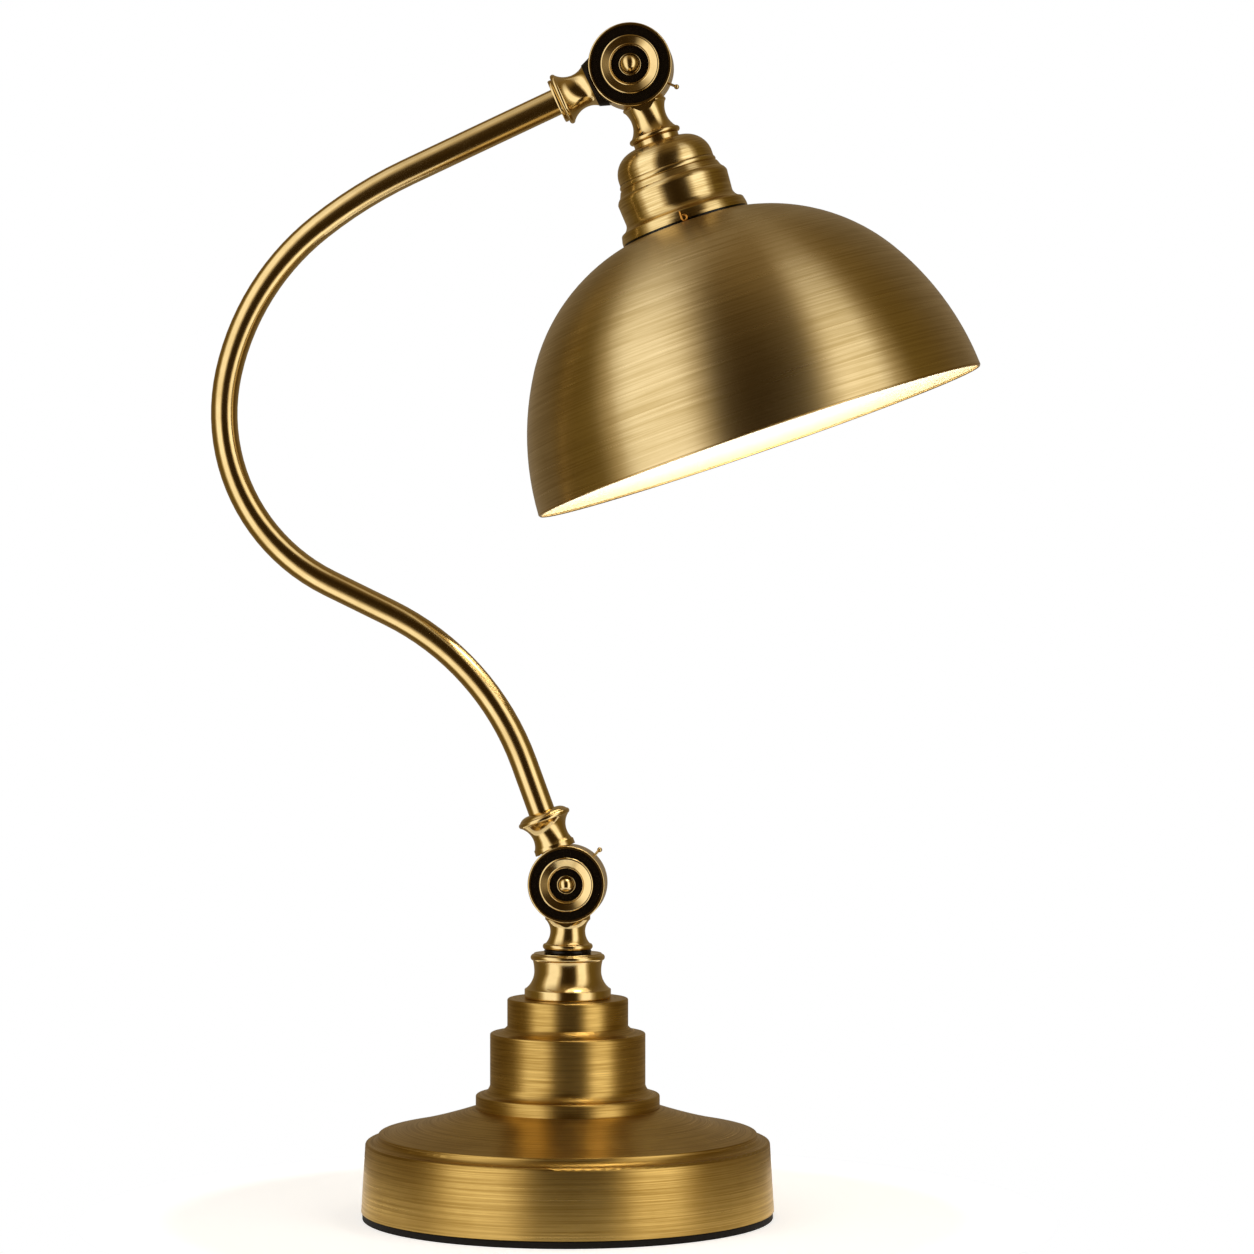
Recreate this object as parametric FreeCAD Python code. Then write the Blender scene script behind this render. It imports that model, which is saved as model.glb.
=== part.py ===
import FreeCAD, Part
import math
import os

# Dome shade desk lamp, in millimetres. +Z is up and the origin is the middle of the base's underside.
# The arm bends in the XZ plane and the shade hangs over +X. Both knuckles turn about Y, and -Y is the front.
Vector = FreeCAD.Vector

# clearances
runningFit = 0.05
seatFit = 0.1
partGap = 0.3

# how far cutting shapes reach past what they cut, and the share of a nut's flats that its corners keep
overcut = 1.0
nutCornerShare = 1.1

# base
padInset = 0.5
padThickness = 2.6
coverLift = 0.4
coverRadius = 85.0
coverTaper = 1.7
coverWallHeight = 27.2
coverEdge = 1.1
stepWidth = 5.3
stepRise = 3.3
stepLip = 1.0
coneRise = 10.4
seatRadius = 38.3
coverWall = 1.0
weightHeight = 13.0
weightClearance = 1.2
hubRadius = 32.0
recessRadius = 14.0
recessDepth = 9.0
channelWidth = 9.0
channelNotch = 14.5
channelNotchDepth = 13.0
inletHeight = 8.6
inletRadius = 4.7
inletBore = 3.3
inletFlange = 6.2
inletFlangeThickness = 1.7

# threaded tube that ties the base and the column together
nippleRadius = 5.0
nippleBore = 3.4
nippleTail = 1.0
nippleEngagement = 9.0
baseWasherRadius = 11.0
baseWasherThickness = 1.5
baseNutFlats = 14.0
baseNutThickness = 5.0

# stepped column
footRadius = 37.9
footHeight = 5.5
footRound = 0.9
footCove = 3.9
drumRadius = 32.0
drumHeight = 21.4
drumRound = 0.8
drumCove = 2.7
topDrumRadius = 24.9
topDrumHeight = 11.5
columnCavity = 25.0
columnTopCavity = 20.0
columnCeiling = 3.5

# vase-shaped column neck
neckRingRadius = 17.8
neckRingHeight = 4.0
neckRound = 0.5
neckWaistRadius = 13.8
neckWaistRise = 7.2
neckLipRise = 4.4
neckLipRadius = 14.4
neckLipHeight = 2.5
neckLipSwell = 0.9
neckWasherRadius = 9.7
neckWasherThickness = 1.5

# knuckles: two barrel halves on one pivot screw
knuckleWidth = 17.0
lowerKnuckleRadius = 15.9
upperKnuckleRadius = 17.2
barrelRound = 0.6
frictionThickness = 0.6
frictionInner = 11.2
frictionSetback = 0.7
rimWidth = 1.1
faceDepth = 1.3
chamberInner = 4.6
chamberOuter = 10.7
chamberDepth = 4.5
wireBore = 2.2
pivotRadius = 3.0
faceWasherThickness = 0.5
lowerCupRadius = 11.3
lowerCupBore = 6.7
upperCupRadius = 12.2
upperCupBore = 7.6
cupHeight = 1.7
cupDish = 0.9
cupLip = 0.5
lowerBallRadius = 3.15
upperBallRadius = 3.9
ballCollar = 0.7
ballCollarHeight = 0.7
springWasherRadius = 8.2
springWasherThickness = 0.8
springWasherCone = 0.4
pivotNutFlats = 10.0
pivotNutThickness = 3.0
pivotNutDome = 1.6
pivotNutFloor = 0.6
neckFaceStep = 1.0
stopPinRadius = 0.55
stopPinHead = 1.05
stopPinReach = 3.9
stopPinDepth = 4.0
lowerStopAngle = 46.7
upperStopAngle = -23.0

# neck of the lower knuckle
stemHeight = 27.1
stemShoulderRadius = 9.3
stemWaistRadius = 7.2
stemWaistDrop = 19.6
stemBeadRadius = 9.1
stemBeadHeight = 2.5
stemBeadSwell = 1.2

# neck of the head
headCrownRadius = 8.7
headCrownHeight = 1.5
headCrownSwell = 0.5
headWaistRadius = 7.3
headWaistDrop = 22.6
headBeadDrop = 28.9
headBeadRadius = 9.7
headBeadHeight = 2.2
headBeadSwell = 1.1
tailLength = 10.3
locknutRadius = 9.5
locknutHeight = 2.3
locknutRound = 0.4

# ferrules and the black rings under them
bossRadius = 6.0
bossLength = 5.2
ferruleStop = 1.2
ferruleStopBore = 4.5
saddleRise = 1.0
lowerSaddleRadius = 8.5
lowerSaddleFlare = 0.1
lowerSaddleDepth = 1.4
upperSaddleRadius = 9.1
upperSaddleFlare = 1.6
upperSaddleDepth = 3.2
lowerFerruleBase = 8.2
lowerFerruleWaist = 7.2
lowerFerruleWaistRise = 3.9
lowerFerruleLipRise = 10.2
lowerFerruleLip = 10.2
upperFerruleBase = 8.8
upperFerruleWaist = 7.2
upperFerruleWaistRise = 4.8
upperFerruleLipRise = 11.5
upperFerruleLip = 10.1
ferruleLipHeight = 2.2
ferruleLipSwell = 0.8
ferruleShoulder = 1.9
upperCollarRadius = 9.0
upperCollarHeight = 1.6
ferruleMouthRadius = 6.4

# bent tube of the arm, drawn from the lower pivot to the upper one
tubeRadius = 5.5
tubeWall = 1.0
armLean = 20.0
armRise = 52.8
backBendRadius = 111.0
backBendAngle = 44.0
backRun = 27.8
crownBendRadius = 78.0
crownBendAngle = 76.5
easeBendRadius = 105.0
easeBendAngle = 39.5
frontBendRadius = 188.0
frontBendAngle = 13.2
frontRun = 101.4

# bulb holder, measured along the head's axis from the upper pivot
headTilt = 18.9
capCrown = 10.2
capBend = 10.0
capSkirt = 1.9
holderWall = 1.0
ringHeight = 2.4
ringRadius = 20.2
ringSwell = 0.5
ringLap = 1.6
ringWall = 2.2
seamGap = 0.2
shellTopRadius = 21.0
shellHeight = 21.1
shellShoulder = 4.8
shellRadius = 23.6
shellWaist = 13.3
shellWaistRadius = 23.0
shellFlare = 3.4
flangeRadius = 26.4
flangeSpread = 0.5
flangeRim = 1.2
shellMouth = 16.5
capNutFlats = 16.0
capNutHeight = 4.0
coreRadius = 19.4
coreHeight = 6.0
sleeveWall = 4.0
sleeveRadius = 19.6
sleeveLength = 25.5
screwShellRadius = 14.2
screwShellWall = 0.6
screwShellLength = 22.0
contactRadius = 4.0
contactHeight = 1.5

# shade
gasketRadius = 26.0
gasketThickness = 1.0
shadeHole = 20.2
shadeSeatRadius = 27.7
shadeSeatAngle = 12.4
shadeCrownRadius = 79.4
shadeCrownAngle = 46.0
shadeSideRadius = 117.5
shadeSideAngle = 29.1
shadeWall = 1.0
shadeRingRadius = 27.0
shadeRingHeight = 5.0
shadeRingRound = 1.0
clipWire = 0.35
clipStem = 2.9
clipLoop = 1.1
clipAngle = 290.0

# bulb
bulbTipRadius = 3.0
bulbTipHeight = 2.0
bulbCapRadius = 13.05
bulbCapLength = 24.0
bulbCapWall = 0.5
bulbNeckRadius = 13.4
bulbNeckLength = 5.0
bulbRadius = 27.5
bulbLength = 98.0
bulbWall = 1.0

# how far the arcs of the turned sections turn, in degrees
quarterAngle = 90.0
coverEdgeAngle = 80.0
stepCoveAngle = 70.0
stepLipAngle = 76.0
coneHollowAngle = 8.0
footCoveAngle = 80.0
drumCoveAngle = 50.0
neckLipAngle = 60.0
cupDishAngle = 40.0
ballAngle = 120.0
nutDomeAngle = 70.0
ferruleCollarAngle = 60.0
ferruleShoulderAngle = 50.0
capArcAngle = 88.0
shellFlareAngle = 70.0
shellWaistAngle = 60.0
shellShoulderAngle = 40.0


# sections and turned shapes

def arcBow(turn):
    """Bow of an arc that turns by so many degrees: its height over half its chord."""
    return math.tan(math.radians(turn) / 4)


def waistBow(radiusChange, heightChange):
    """Bow of the hollow arc that leaves a neck's narrowest place along the axis."""
    return -math.tan(math.atan2(abs(radiusChange), abs(heightChange)) / 2)


def outlineEdge(start, end, bow):
    """Edge in the XZ plane; a bow above zero bulges to the right of its way."""
    first = Vector(start[0], 0, start[1])
    last = Vector(end[0], 0, end[1])
    if bow == 0:
        return Part.LineSegment(first, last).toShape()
    across = Vector(last.z - first.z, 0, first.x - last.x)
    middle = (first + last) * 0.5 + across * (bow / 2)
    return Part.Arc(first, middle, last).toShape()


def outline(points, closed=True):
    """Wire through (radius, height) points; a third value bows the edge that ends there."""
    edges = []
    for start, end in zip(points, points[1:]):
        edges.append(outlineEdge(start, end, end[2] if len(end) > 2 else 0))
    if closed:
        edges.append(outlineEdge(points[-1], points[0], 0))
    return Part.Wire(edges)


def spin(face):
    """Solid of a half section turned about Z."""
    return face.revolve(Vector(0, 0, 0), Vector(0, 0, 1), 360)


def turned(points):
    """Solid of revolution about Z from a closed outline."""
    return spin(Part.Face(outline(points)))


def spun(points, wall):
    """Sheet of revolution: the outer line of the points, thickened inwards by the wall."""
    return spin(outline(points, closed=False).makeOffset2D(wall, 0, True, True, False))


def rod(radius, bottom, top):
    """Upright round bar on Z."""
    return Part.makeCylinder(radius, top - bottom, Vector(0, 0, bottom))


def tube(radius, bore, bottom, top):
    """Upright tube on Z."""
    return rod(radius, bottom, top).cut(rod(bore, bottom - overcut, top + overcut))


def crossBar(radius, front, back):
    """Round bar along Y."""
    return Part.makeCylinder(radius, back - front, Vector(0, front, 0), Vector(0, 1, 0))


def hexagon(flats, bottom, top):
    """Hexagonal bar on Z with its corners rounded off."""
    corner = flats / math.sqrt(3)
    points = []
    for step in range(7):
        angle = math.radians(60 * step)
        points.append(Vector(corner * math.cos(angle), corner * math.sin(angle), bottom))
    bar = Part.Face(Part.makePolygon(points)).extrude(Vector(0, 0, top - bottom))
    return bar.common(rod(flats / 2 * nutCornerShare, bottom, top))


def aimed(shape, heading, place):
    """Shape drawn along +Z, turned in the XZ plane to a heading (0 is +X, 90 is up) and moved."""
    turnedShape = shape.copy()
    turnedShape.rotate(Vector(0, 0, 0), Vector(0, 1, 0), 90 - heading)
    turnedShape.translate(place)
    return turnedShape


def facing(shape, side):
    """Shape drawn along +Z, turned to point to the front (side -1) or to the back (side 1)."""
    turnedShape = shape.copy()
    turnedShape.rotate(Vector(0, 0, 0), Vector(1, 0, 0), -90 * side)
    return turnedShape


def onWay(heading, distance):
    """Offset in the XZ plane, so far along a heading."""
    angle = math.radians(heading)
    return Vector(distance * math.cos(angle), 0, distance * math.sin(angle))


def straight(path, length):
    """Adds a straight run to a path of edges."""
    end = path["place"] + onWay(path["heading"], length)
    path["edges"].append(Part.LineSegment(path["place"], end).toShape())
    path["place"] = end


def bend(path, radius, turn):
    """Adds a tangent arc to a path; a turn above zero bends to the left."""
    side = 90 if turn > 0 else -90
    centre = path["place"] + onWay(path["heading"] + side, radius)
    middle = centre - onWay(path["heading"] + turn / 2 + side, radius)
    end = centre - onWay(path["heading"] + turn + side, radius)
    path["edges"].append(Part.Arc(path["place"], middle, end).toShape())
    path["place"] = end
    path["heading"] += turn


nodes = {}


def keep(name, shape):
    """Keeps a finished piece under its node's name."""
    nodes[name] = shape


# heights of the base and the column, from the floor up
coverBottom = padThickness + coverLift
shoulderHeight = coverBottom + coverWallHeight
stepTop = shoulderHeight + coverEdge + stepRise
seatHeight = stepTop + coneRise
coverHole = nippleRadius + 2 * seatFit
stackBore = nippleRadius + seatFit
drumBottom = seatHeight + footHeight + footCove
drumTop = drumBottom + drumHeight
topDrumBottom = drumTop + drumCove
columnTop = topDrumBottom + topDrumHeight
neckTop = columnTop + neckRingHeight + neckWaistRise + neckLipRise + neckLipHeight + neckRound
stemBottom = neckTop + neckWasherThickness
lowerPivot = Vector(0, 0, stemBottom + stemHeight)
nippleTop = stemBottom + nippleEngagement
recessTop = padThickness + recessDepth
baseNutTop = recessTop - baseWasherThickness
nippleBottom = baseNutTop - baseNutThickness - nippleTail

# planes of the knuckles, from their middle
halfWidth = knuckleWidth / 2
innerFace = frictionThickness / 2 + runningFit
faceFloor = halfWidth - faceDepth
neckReach = halfWidth - neckFaceStep


# base

def coverSection():
    """Outer line of the spun cover, from its foot to the hole in the middle."""
    shoulderRadius = coverRadius - coverTaper
    ledgeRadius = shoulderRadius - coverEdge
    stepRadius = shoulderRadius - stepWidth
    return [
        (coverRadius, coverBottom),
        (shoulderRadius, shoulderHeight),
        (ledgeRadius, shoulderHeight + coverEdge, arcBow(coverEdgeAngle)),
        (stepRadius, stepTop - stepLip, -arcBow(stepCoveAngle)),
        (stepRadius, stepTop - stepLip / 2),
        (stepRadius - stepLip / 2, stepTop, arcBow(stepLipAngle)),
        (seatRadius, seatHeight, -arcBow(coneHollowAngle)),
        (coverHole, seatHeight),
    ]


def inletWallRadius():
    """Radius of the cover's wall at the height of the cord's inlet."""
    return coverRadius - coverTaper * inletHeight / coverWallHeight


def alongInlet(shape):
    """Shape drawn along +Z, laid on the inlet's axis towards the back."""
    laid = facing(shape, 1)
    laid.translate(Vector(0, 0, coverBottom + inletHeight))
    return laid


def makeBase():
    inletHole = alongInlet(rod(inletRadius, coverRadius / 2, coverRadius + coverEdge))
    cover = spun(coverSection(), coverWall).cut(inletHole)
    keep("base_cover", cover)
    keep("base_pad", rod(coverRadius - padInset, 0, padThickness))

    weightRadius = coverRadius - coverTaper - coverWall - weightClearance
    weightTop = padThickness + weightHeight
    hubTop = seatHeight - coverWall
    weight = turned([
        (stackBore, padThickness),
        (weightRadius, padThickness),
        (weightRadius, weightTop),
        (hubRadius, weightTop),
        (hubRadius, hubTop),
        (stackBore, hubTop),
    ])
    recess = rod(recessRadius, 0, recessTop)
    channel = Part.makeBox(channelWidth, weightRadius, recessTop, Vector(-channelWidth / 2, 0, 0))
    notchPlace = Vector(-channelNotch / 2, weightRadius - channelNotchDepth, 0)
    notch = Part.makeBox(channelNotch, channelNotchDepth + coverWall, 2 * weightTop, notchPlace)
    keep("base_weight", weight.cut(recess).cut(channel).cut(notch))

    wallRadius = inletWallRadius()
    inside = wallRadius - coverWall - inletFlangeThickness - 2 * seatFit
    outside = wallRadius + inletFlangeThickness
    neckStart = inside + inletFlangeThickness
    grommet = turned([
        (inletBore, inside),
        (inletFlange, inside),
        (inletFlange, neckStart),
        (inletRadius - seatFit, neckStart),
        (inletRadius - seatFit, wallRadius - seatFit),
        (inletFlange, wallRadius - seatFit),
        (inletFlange, outside - inletFlangeThickness / 2),
        (inletFlange - inletFlangeThickness / 2, outside, arcBow(quarterAngle)),
        (inletBore, outside),
    ])
    keep("cord_grommet", alongInlet(grommet).cut(cover))


def makeTieRod():
    keep("stem_nipple", tube(nippleRadius, nippleBore, nippleBottom, nippleTop))
    keep("base_washer", tube(baseWasherRadius, stackBore, baseNutTop, recessTop))
    nutBottom = baseNutTop - baseNutThickness
    nut = hexagon(baseNutFlats, nutBottom, baseNutTop)
    keep("base_nut", nut.cut(rod(stackBore, nutBottom - overcut, baseNutTop + overcut)))


# column

def makeColumn():
    column = turned([
        (columnCavity, seatHeight),
        (footRadius, seatHeight),
        (footRadius, seatHeight + footHeight - footRound),
        (footRadius - footRound, seatHeight + footHeight, arcBow(quarterAngle)),
        (drumRadius, drumBottom, -arcBow(footCoveAngle)),
        (drumRadius, drumTop - drumRound),
        (drumRadius - drumRound, drumTop, arcBow(quarterAngle)),
        (topDrumRadius, topDrumBottom, -arcBow(drumCoveAngle)),
        (topDrumRadius, columnTop - drumRound),
        (topDrumRadius - drumRound, columnTop, arcBow(quarterAngle)),
        (stackBore, columnTop),
        (stackBore, columnTop - columnCeiling),
        (columnTopCavity, columnTop - columnCeiling),
        (columnTopCavity, drumTop - columnCeiling),
        (columnCavity, drumTop - columnCeiling),
    ])
    keep("stepped_column", column)


def makeColumnNeck():
    ringTop = columnTop + neckRingHeight
    waistHeight = ringTop + neckWaistRise
    lipBottom = waistHeight + neckLipRise
    lipTop = lipBottom + neckLipHeight
    shoulder = neckRingRadius - neckRound
    neck = turned([
        (stackBore, columnTop),
        (shoulder, columnTop),
        (neckRingRadius, columnTop + neckRound, arcBow(quarterAngle)),
        (neckRingRadius, ringTop - neckRound),
        (shoulder, ringTop, arcBow(quarterAngle)),
        (neckWaistRadius, waistHeight, waistBow(shoulder - neckWaistRadius, neckWaistRise)),
        (neckLipRadius, lipBottom, waistBow(neckLipRadius - neckWaistRadius, neckLipRise)),
        (neckLipRadius, lipTop, 2 * neckLipSwell / neckLipHeight),
        (neckLipRadius - neckRound, neckTop, -arcBow(neckLipAngle)),
        (stackBore, neckTop),
    ])
    keep("column_neck", neck)
    washer = turned([
        (stackBore, neckTop),
        (neckWasherRadius - neckRound, neckTop),
        (neckWasherRadius, neckTop + neckRound, arcBow(quarterAngle)),
        (neckWasherRadius, stemBottom - neckRound),
        (neckWasherRadius - neckRound, stemBottom, arcBow(quarterAngle)),
        (stackBore, stemBottom),
    ])
    keep("neck_washer", washer)


# knuckle pieces, drawn about the origin with the pivot along Y

def barrelHalf(radius, side):
    """Half barrel with its recessed face and the wire's chamber; side -1 is the front half."""
    body = turned([
        (pivotRadius + runningFit, innerFace),
        (radius, innerFace),
        (radius, halfWidth - barrelRound),
        (radius - barrelRound, halfWidth, arcBow(quarterAngle)),
        (radius - rimWidth, halfWidth),
        (radius - rimWidth, faceFloor),
        (pivotRadius + runningFit, faceFloor),
    ])
    chamber = tube(chamberOuter, chamberInner, 0, innerFace + chamberDepth)
    return facing(body.cut(chamber), side)


def barrelHollow(radius, side):
    """Room that a neck leaves for everything inside its own barrel half's rim and screw."""
    hollow = rod(radius - rimWidth, faceFloor, 2 * halfWidth)
    return facing(hollow.fuse(rod(pivotRadius + runningFit, 0, halfWidth)), side)


def knuckleHalf(radius, side, neck, heading):
    """Barrel half with the neck or boss that grows out of it along a heading."""
    longest = neck.BoundBox.ZMax + overcut
    trimmed = neck
    for face in (-1, 1):
        slab = Part.makeBox(4 * radius, radius, radius + neckFaceStep + 2 * barrelRound)
        slab.translate(Vector(-2 * radius, neckReach if face > 0 else -neckReach - radius, 0))
        trimmed = trimmed.cut(slab)
    ownEdge = innerFace * side
    farEdge = -2 * radius * side
    room = crossBar(radius + partGap, min(ownEdge, farEdge), max(ownEdge, farEdge))
    inner = crossBar(chamberOuter, -halfWidth, halfWidth)
    trimmed = trimmed.cut(room).cut(inner).cut(barrelHollow(radius, side))
    joined = barrelHalf(radius, side).fuse(aimed(trimmed, heading, Vector(0, 0, 0)))
    wireWay = rod(wireBore, chamberInner + wireBore, longest)
    wireWay.translate(Vector(0, side * (innerFace + chamberDepth / 2), 0))
    return joined.cut(aimed(wireWay, heading, Vector(0, 0, 0))).removeSplitter()


def faceWasher(radius):
    """Black disc on the floor of the face's recess."""
    top = faceFloor + faceWasherThickness
    return facing(tube(radius - rimWidth - seatFit, pivotRadius + seatFit, faceFloor, top), -1)


def cupRing(radius, bore):
    """Dished ring: a rounded outer edge, a slope inwards and a raised inner lip."""
    floor = faceFloor + faceWasherThickness
    crest = floor + cupHeight
    trough = floor + cupHeight - cupDish
    ring = turned([
        (bore, floor),
        (radius, floor),
        (radius, crest - cupDish),
        (radius - cupDish, crest, arcBow(quarterAngle)),
        (bore + 2 * cupLip, trough),
        (bore + cupLip, trough + cupLip, -arcBow(cupDishAngle)),
        (bore, trough, arcBow(quarterAngle)),
    ])
    return facing(ring, -1)


def pivotNutSeat():
    """Distance of the nut's seat from the knuckle's middle."""
    return faceFloor + runningFit + springWasherThickness + springWasherCone


def pivotThreadEnd():
    """Distance of the nut's blind end from the knuckle's middle."""
    return pivotNutSeat() + pivotNutThickness - pivotNutFloor


def pivotScrew(ballRadius):
    """Screw through both halves: ball head and collar in front, plain shank to the nut behind."""
    seat = faceFloor + faceWasherThickness
    collarTop = seat + ballCollarHeight
    waist = ballRadius * math.sin(math.radians(ballAngle))
    ballTop = collarTop + ballRadius * (1 - math.cos(math.radians(ballAngle)))
    back = partGap - pivotThreadEnd()
    screw = turned([
        (0, back),
        (pivotRadius, back),
        (pivotRadius, seat),
        (ballRadius + ballCollar, seat),
        (ballRadius + ballCollar, collarTop - ballCollarHeight / 2),
        (ballRadius + ballCollar / 2, collarTop, arcBow(quarterAngle)),
        (waist, collarTop),
        (0, ballTop, arcBow(ballAngle)),
    ])
    return facing(screw, -1)


def springWasher():
    """Coned washer on the floor of the back recess."""
    floor = faceFloor + runningFit
    bore = pivotRadius + seatFit
    washer = turned([
        (bore, floor + springWasherCone),
        (springWasherRadius, floor),
        (springWasherRadius, floor + springWasherThickness),
        (bore, floor + springWasherThickness + springWasherCone),
    ])
    return facing(washer, 1)


def pivotNut():
    """Domed hexagonal nut behind the spring washer."""
    floor = pivotNutSeat()
    top = floor + pivotNutThickness
    corner = pivotNutFlats / 2
    dome = turned([
        (0, top),
        (corner, top),
        (0, top + pivotNutDome, arcBow(nutDomeAngle)),
    ])
    bore = rod(pivotRadius + seatFit / 2, floor - overcut, pivotThreadEnd())
    return facing(hexagon(pivotNutFlats, floor, top).fuse(dome).cut(bore).removeSplitter(), 1)


def frictionWasher(radius, side):
    """Ring between the two halves, against the half on the given side."""
    ring = tube(radius - frictionSetback, frictionInner, 0, frictionThickness)
    place = innerFace - frictionThickness
    ring.translate(Vector(0, 0, place))
    return facing(ring, side)


def stopPin(radius, heading):
    """Ball-headed pin in the rim of the back half."""
    top = radius + stopPinReach
    throat = math.sqrt(stopPinHead ** 2 - stopPinRadius ** 2)
    ballMiddle = top - stopPinHead
    pin = turned([
        (0, radius - stopPinDepth),
        (stopPinRadius, radius - stopPinDepth),
        (stopPinRadius, ballMiddle - throat),
        (0, top, arcBow(180 - math.degrees(math.asin(stopPinRadius / stopPinHead)))),
    ])
    pin.translate(Vector(0, (innerFace + halfWidth) / 2, 0))
    return aimed(pin, heading, Vector(0, 0, 0))


def pinHole(radius, heading):
    """Hole in the rim for the stop pin."""
    hole = rod(stopPinRadius + seatFit / 2, radius - stopPinDepth, radius + overcut)
    hole.translate(Vector(0, (innerFace + halfWidth) / 2, 0))
    return aimed(hole, heading, Vector(0, 0, 0))


def keepKnuckle(prefix, radius, cup, bore, ball, movingSide, place):
    """Keeps the pieces that both knuckles share, moved to the pivot."""
    pieces = {
        "face_washer": faceWasher(radius),
        "cup_ring": cupRing(cup, bore),
        "pivot_screw": pivotScrew(ball),
        "spring_washer": springWasher(),
        "pivot_nut": pivotNut(),
        "friction_washer": frictionWasher(radius, movingSide),
    }
    for name, piece in pieces.items():
        piece.translate(place)
        keep(prefix + "_" + name, piece)


# necks, bosses and ferrules, drawn along +Z from the pivot

def stemNeck():
    """Neck under the lower knuckle: bead at its foot, waist, shoulder under the barrel."""
    beadTop = stemHeight - stemBeadHeight
    shoulderDrop = lowerKnuckleRadius - 2 * barrelRound
    return turned([
        (0, 0),
        (stemShoulderRadius, 0),
        (stemShoulderRadius, shoulderDrop),
        (stemWaistRadius, stemWaistDrop, waistBow(stemShoulderRadius - stemWaistRadius,
                                                  stemWaistDrop - shoulderDrop)),
        (stemBeadRadius, beadTop, waistBow(stemBeadRadius - stemWaistRadius, beadTop - stemWaistDrop)),
        (stemBeadRadius, stemHeight, 2 * stemBeadSwell / stemBeadHeight),
        (0, stemHeight),
    ])


def headNeck():
    """Neck of the head: crown bead, waist, collar bead and the threaded tail."""
    crownTop = upperKnuckleRadius - 2 * barrelRound
    crownBottom = crownTop + headCrownHeight
    beadBottom = headBeadDrop + headBeadHeight
    tailRadius = nippleRadius
    return turned([
        (0, 0),
        (headCrownRadius, 0),
        (headCrownRadius, crownTop),
        (headCrownRadius, crownBottom, 2 * headCrownSwell / headCrownHeight),
        (headWaistRadius, headWaistDrop, waistBow(headCrownRadius - headWaistRadius,
                                                  headWaistDrop - crownBottom)),
        (headBeadRadius, headBeadDrop, waistBow(headBeadRadius - headWaistRadius,
                                                headBeadDrop - headWaistDrop)),
        (headBeadRadius, beadBottom, 2 * headBeadSwell / headBeadHeight),
        (tailRadius, beadBottom),
        (tailRadius, beadBottom + tailLength),
        (0, beadBottom + tailLength),
    ])


def saddleRing(radius, ringRadius, flare, depth):
    """Black ring that hugs the barrel, with its top just above it."""
    top = radius + partGap + saddleRise
    ring = turned([
        (bossRadius + seatFit, top - depth - saddleRise),
        (ringRadius + flare, top - depth - saddleRise),
        (ringRadius, top),
        (bossRadius + seatFit, top),
    ])
    return ring.cut(crossBar(radius + partGap, -2 * radius, 2 * radius))


def ferrule(start, base, waist, waistRise, lipRise, lip, collar):
    """Waisted ferrule: boss bore below, a stop, the tube's socket above; a collar if the list gives one."""
    lipBottom = start + lipRise
    lipTop = lipBottom + ferruleLipHeight
    points = [
        (bossRadius + seatFit, start),
        (base, start),
        (waist, start + waistRise, waistBow(base - waist, waistRise)),
        (lip, lipBottom, waistBow(lip - waist, lipRise - waistRise)),
        (lip, lipTop, 2 * ferruleLipSwell / ferruleLipHeight),
    ]
    top = lipTop
    if collar:
        points.append((collar, lipTop))
        points.append((collar, lipTop + upperCollarHeight, arcBow(ferruleCollarAngle)))
        top += upperCollarHeight
        points.append((ferruleMouthRadius, top))
    else:
        top += ferruleShoulder
        points.append((ferruleMouthRadius, top, arcBow(ferruleShoulderAngle)))
    stop = start + bossLength
    points += [
        (tubeRadius + seatFit, top),
        (tubeRadius + seatFit, stop + ferruleStop),
        (ferruleStopBore, stop + ferruleStop),
        (ferruleStopBore, stop),
        (bossRadius + seatFit, stop),
    ]
    return turned(points)


def saddleTop(radius):
    """Distance from a pivot to the seat of its ferrule."""
    return radius + partGap + saddleRise


def tubeStart(radius):
    """Distance from a pivot to the end of the tube in its ferrule."""
    return saddleTop(radius) + bossLength + ferruleStop


def makeLowerKnuckle():
    stem = knuckleHalf(lowerKnuckleRadius, 1, stemNeck(), -90)
    threadTop = nippleTop - lowerPivot.z
    thread = rod(stackBore, -stemHeight - overcut, threadTop)
    stem = stem.cut(thread).cut(pinHole(lowerKnuckleRadius, lowerStopAngle))
    stem.translate(lowerPivot)
    keep("lower_knuckle_stem", stem)
    pin = stopPin(lowerKnuckleRadius, lowerStopAngle)
    pin.translate(lowerPivot)
    keep("lower_stop_pin", pin)

    boss = rod(bossRadius, 0, saddleTop(lowerKnuckleRadius) + bossLength)
    half = knuckleHalf(lowerKnuckleRadius, -1, boss, 90 + armLean)
    half.translate(lowerPivot)
    keep("lower_knuckle_arm_half", half)
    keepKnuckle("lower", lowerKnuckleRadius, lowerCupRadius, lowerCupBore, lowerBallRadius, -1, lowerPivot)


# arm

def armPath(startCut, endCut):
    """Centre line of the tube, from one ferrule's stop to the other's."""
    heading = 90 + armLean
    path = {"edges": [], "heading": heading, "place": lowerPivot + onWay(heading, startCut)}
    straight(path, armRise - startCut)
    bend(path, backBendRadius, backBendAngle)
    straight(path, backRun)
    bend(path, crownBendRadius, -crownBendAngle)
    bend(path, easeBendRadius, -easeBendAngle)
    bend(path, frontBendRadius, -frontBendAngle)
    straight(path, frontRun - endCut)
    return path


def swept(path, radius):
    """Round bar along a path."""
    start = path["edges"][0].valueAt(path["edges"][0].FirstParameter)
    way = path["edges"][0].tangentAt(path["edges"][0].FirstParameter)
    ring = Part.Wire([Part.makeCircle(radius, start, way)])
    return Part.Wire(path["edges"]).makePipeShell([ring], True, False)


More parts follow.
